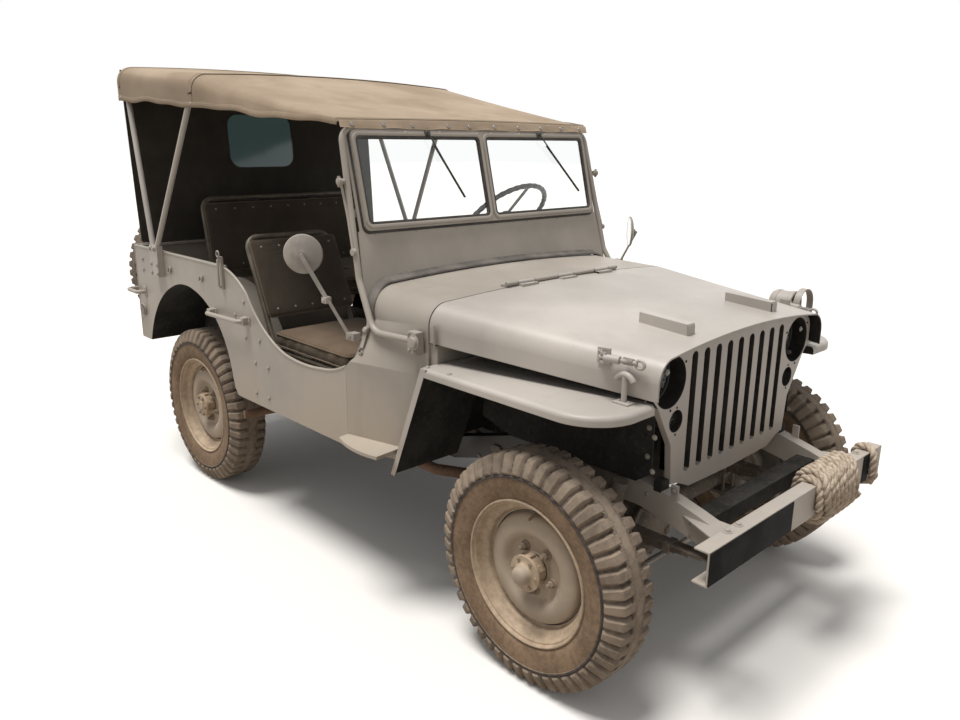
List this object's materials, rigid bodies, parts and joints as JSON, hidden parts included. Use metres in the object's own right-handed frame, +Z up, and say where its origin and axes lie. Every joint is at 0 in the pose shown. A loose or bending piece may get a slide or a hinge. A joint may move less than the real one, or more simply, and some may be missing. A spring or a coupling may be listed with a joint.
{
  "type": "light four-wheel-drive army car",
  "caption": "Open wartime army 4x4 with slotted grille, flat-topped fenders, upright windshield, canvas top on tube bows, bar-tread tyres and a rope-wound front bumper.",
  "frame": {"origin": "on the ground under the middle of the car's overall length and width", "axes": "+X forwards along the car, +Y to its left, +Z up"},
  "size_m": [3.332, 1.659, 1.8658],
  "materials": {
    "body_paint": "satin",
    "dark_paint": "satin",
    "underbody": "matt",
    "wheel_paint": "satin",
    "glass_clear": "clear",
    "lamp_glass": "clear",
    "canvas_tan": "matt",
    "seat_canvas": "matt",
    "rope_fibre": "matt",
    "tyre_rubber": "matt",
    "bare_iron": "matt",
    "engine_iron": "matt",
    "exhaust_rust": "rusty"
  },
  "bodies": {
    "body": {"chassis_frame": "dark_paint", "front_bumper": "dark_paint", "bumper_rope": "rope_fibre", "grille": "body_paint", "radiator": "dark_paint", "lamps": "lamp_glass", "fender_right": "body_paint", "fender_left": "body_paint", "cowl": "body_paint", "body_side_right": "body_paint", "body_side_left": "body_paint", "rear_panel": "body_paint", "floor": "body_paint", "windshield_frame": "body_paint", "windshield_glass": "glass_clear", "top_bows": "body_paint", "canvas_top": "canvas_tan", "rear_curtain": "canvas_tan", "seat_frames": "body_paint", "seat_cushions": "seat_canvas", "seat_backs": "seat_canvas", "mirrors": "dark_paint", "body_fittings": "body_paint", "driver_controls": "dark_paint", "front_axle": "underbody", "rear_axle": "underbody", "suspension": "underbody", "engine_block": "engine_iron", "drive_shafts": "underbody", "exhaust": "exhaust_rust", "spare_tyre": "tyre_rubber", "spare_wheel": "wheel_paint", "rear_fittings": "dark_paint", "tail_lamps": "dark_paint"},
    "hood": {"hood": "body_paint"},
    "steering_wheel": {"steering_wheel": "dark_paint"},
    "knuckle_left": {"knuckle_left": "bare_iron"},
    "knuckle_right": {"knuckle_right": "bare_iron"},
    "tie_rod": {"tie_rod": "bare_iron"},
    "wheel_front_left": {"wheel_front_left": "wheel_paint", "tyre_front_left": "tyre_rubber"},
    "wheel_front_right": {"wheel_front_right": "wheel_paint", "tyre_front_right": "tyre_rubber"},
    "wheel_rear_left": {"wheel_rear_left": "wheel_paint", "tyre_rear_left": "tyre_rubber"},
    "wheel_rear_right": {"wheel_rear_right": "wheel_paint", "tyre_rear_right": "tyre_rubber"}
  },
  "joints": [
    {"name": "hood_hinge", "type": "hinge", "parent": "body", "child": "hood", "pos_m": [0.66, 0, 1.076], "axis": [0, -1, 0], "range_deg": [0, 110]},
    {"name": "steer_left", "type": "hinge", "parent": "body", "child": "knuckle_left", "pos_m": [1.1315, 0.545, 0.351], "axis": [0, 0, 1], "range_deg": [-26, 26]},
    {"name": "steer_right", "type": "hinge", "parent": "body", "child": "knuckle_right", "pos_m": [1.1315, -0.545, 0.351], "axis": [0, 0, 1], "range_deg": [-26, 26]},
    {"name": "tie_rod_swing", "type": "hinge", "parent": "knuckle_right", "child": "tie_rod", "pos_m": [1.2765, -0.545, 0.293], "axis": [0, 0, 1], "range_deg": [-26, 26]},
    {"name": "steering_wheel_turn", "type": "hinge", "parent": "body", "child": "steering_wheel", "pos_m": [0.0115, 0.345, 1.215], "axis": [-0.6983, 0, 0.7158], "range_deg": [-364, 364]},
    {"name": "wheel_front_left_spin", "type": "hinge", "parent": "knuckle_left", "child": "wheel_front_left", "pos_m": [1.1315, 0.6225, 0.351], "axis": [0, 1, 0], "continuous": true},
    {"name": "wheel_front_right_spin", "type": "hinge", "parent": "knuckle_right", "child": "wheel_front_right", "pos_m": [1.1315, -0.6225, 0.351], "axis": [0, 1, 0], "continuous": true},
    {"name": "wheel_rear_left_spin", "type": "hinge", "parent": "body", "child": "wheel_rear_left", "pos_m": [-0.9005, 0.6225, 0.351], "axis": [0, 1, 0], "continuous": true},
    {"name": "wheel_rear_right_spin", "type": "hinge", "parent": "body", "child": "wheel_rear_right", "pos_m": [-0.9005, -0.6225, 0.351], "axis": [0, 1, 0], "continuous": true}
  ],
  "couplings": [
    {"joint": "steer_right", "follows": "steer_left", "ratio": 1},
    {"joint": "tie_rod_swing", "follows": "steer_left", "ratio": -1},
    {"joint": "steering_wheel_turn", "follows": "steer_left", "ratio": 14}
  ]
}
